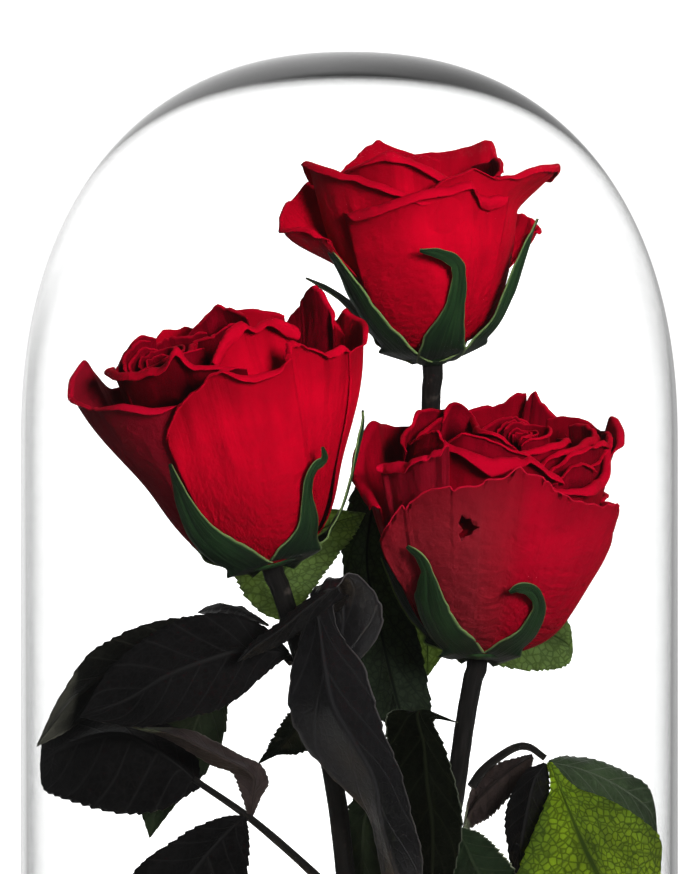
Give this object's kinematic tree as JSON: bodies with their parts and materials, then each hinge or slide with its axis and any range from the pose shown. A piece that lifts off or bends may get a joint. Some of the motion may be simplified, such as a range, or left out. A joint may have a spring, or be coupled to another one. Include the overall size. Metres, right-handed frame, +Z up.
{
  "type": "preserved rose in glass dome",
  "caption": "Preserved red roses with dark leaves on cut stems, standing in a round wooden base under a lift-off, bell-shaped clear glass dome.",
  "frame": {"origin": "centre of the wooden base's underside", "axes": "+Z up along the dome's axis, -Y towards the viewer of the picture, +X to the viewer's right"},
  "size_m": [0.23, 0.23, 0.322],
  "materials": {
    "clear_glass": "clear, polished",
    "turned_wood": "satin",
    "dark_stem": "matte",
    "green_sepal": "matte",
    "red_petal": "velvety",
    "dark_red_petal": "velvety",
    "dark_leaf": "satin"
  },
  "bodies": {
    "root": {"calyx_left": "green_sepal", "calyx_right": "green_sepal", "calyx_top": "green_sepal", "glass_dome": "clear_glass", "heart_left": "dark_red_petal", "heart_right": "dark_red_petal", "heart_top": "dark_red_petal", "leaf_left_back": "dark_leaf", "leaf_left_bottom": "dark_leaf", "leaf_left_curled": "dark_leaf", "leaf_left_edge": "dark_leaf", "leaf_left_front": "dark_leaf", "leaf_left_hanging": "dark_leaf", "leaf_left_low": "dark_leaf", "leaf_middle_dark": "dark_leaf", "leaf_middle_drooping": "dark_leaf", "leaf_middle_edge": "dark_leaf", "leaf_middle_green": "dark_leaf", "leaf_middle_hanging": "dark_leaf", "leaf_middle_low": "dark_leaf", "leaf_middle_patch": "dark_leaf", "leaf_middle_rimmed": "dark_leaf", "leaf_middle_small": "dark_leaf", "leaf_right_bright": "dark_leaf", "leaf_right_dark": "dark_leaf", "leaf_right_glossy": "dark_leaf", "leaf_right_pale": "dark_leaf", "leaf_right_upper": "dark_leaf", "petal_left_front": "red_petal", "petal_left_front_right": "red_petal", "petal_left_inner_front": "red_petal", "petal_left_inner_left": "red_petal", "petal_left_leftmost": "red_petal", "petal_left_rear": "red_petal", "petal_left_rear_right": "red_petal", "petal_left_rightmost": "red_petal", "petal_right_front": "red_petal", "petal_right_front_left": "red_petal", "petal_right_inner_right": "red_petal", "petal_right_leftmost": "red_petal", "petal_right_rear": "red_petal", "petal_right_rear_right": "red_petal", "petal_right_rightmost": "red_petal", "petal_right_shield": "red_petal", "petal_top_crest": "red_petal", "petal_top_flared": "red_petal", "petal_top_front": "red_petal", "petal_top_hidden": "red_petal", "petal_top_leftward": "red_petal", "petal_top_pointed": "red_petal", "petal_top_rear_left": "red_petal", "petal_top_rear_right": "red_petal", "petal_top_small": "red_petal", "petiole_back": "dark_stem", "petiole_left": "dark_stem", "petiole_right": "dark_stem", "stem_left": "dark_stem", "stem_right": "dark_stem", "stem_top": "dark_stem", "wooden_base": "turned_wood"}
  },
  "joints": []
}
